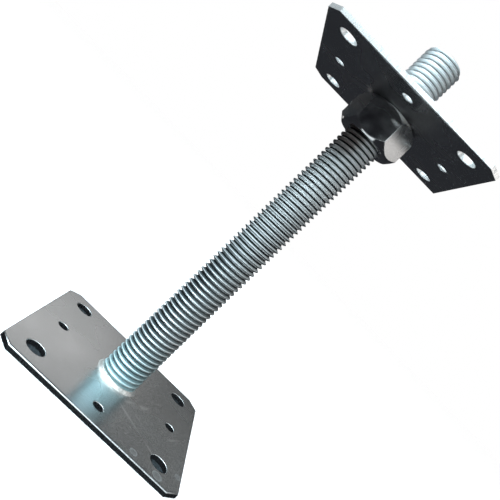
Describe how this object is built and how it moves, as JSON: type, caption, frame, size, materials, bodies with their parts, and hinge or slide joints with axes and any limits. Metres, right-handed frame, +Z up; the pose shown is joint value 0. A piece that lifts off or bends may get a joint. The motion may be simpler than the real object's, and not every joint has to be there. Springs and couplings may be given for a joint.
{
  "type": "adjustable post base",
  "caption": "Square steel foot plate with an upright threaded rod, and a loose square seat plate that a hexagon nut raises and lowers to level a timber post.",
  "frame": {"origin": "centre of the foot plate's underside", "axes": "+Z up along the threaded rod; +X and +Y along the foot plate's edges"},
  "size_m": [0.1197, 0.119, 0.25],
  "materials": {
    "plate_zinc": "bright zinc plating on rolled sheet steel, satin",
    "rod_zinc": "bright zinc plating on rolled thread, bluish",
    "weld_metal": "zinc plated weld, slightly rough",
    "nut_zinc": "bright zinc plating, glossy"
  },
  "bodies": {
    "base": {"base_plate": "plate_zinc", "threaded_rod": "rod_zinc", "weld_bead": "weld_metal"},
    "seat": {"top_plate": "plate_zinc"},
    "nut": {"hex_nut": "nut_zinc"}
  },
  "joints": [
    {"name": "seat_lift", "type": "slide", "parent": "base", "child": "seat", "axis": [0, 0, 1], "range_m": [-0.181, 0.033]},
    {"name": "nut_turn", "type": "hinge", "parent": "seat", "child": "nut", "pos_m": [0, 0, 0.2], "axis": [0, 0, 1], "range_deg": [-21721, 3961]}
  ],
  "couplings": [
    {"joint": "nut_turn", "follows": "seat_lift", "rad_per_m": 2094.4}
  ]
}
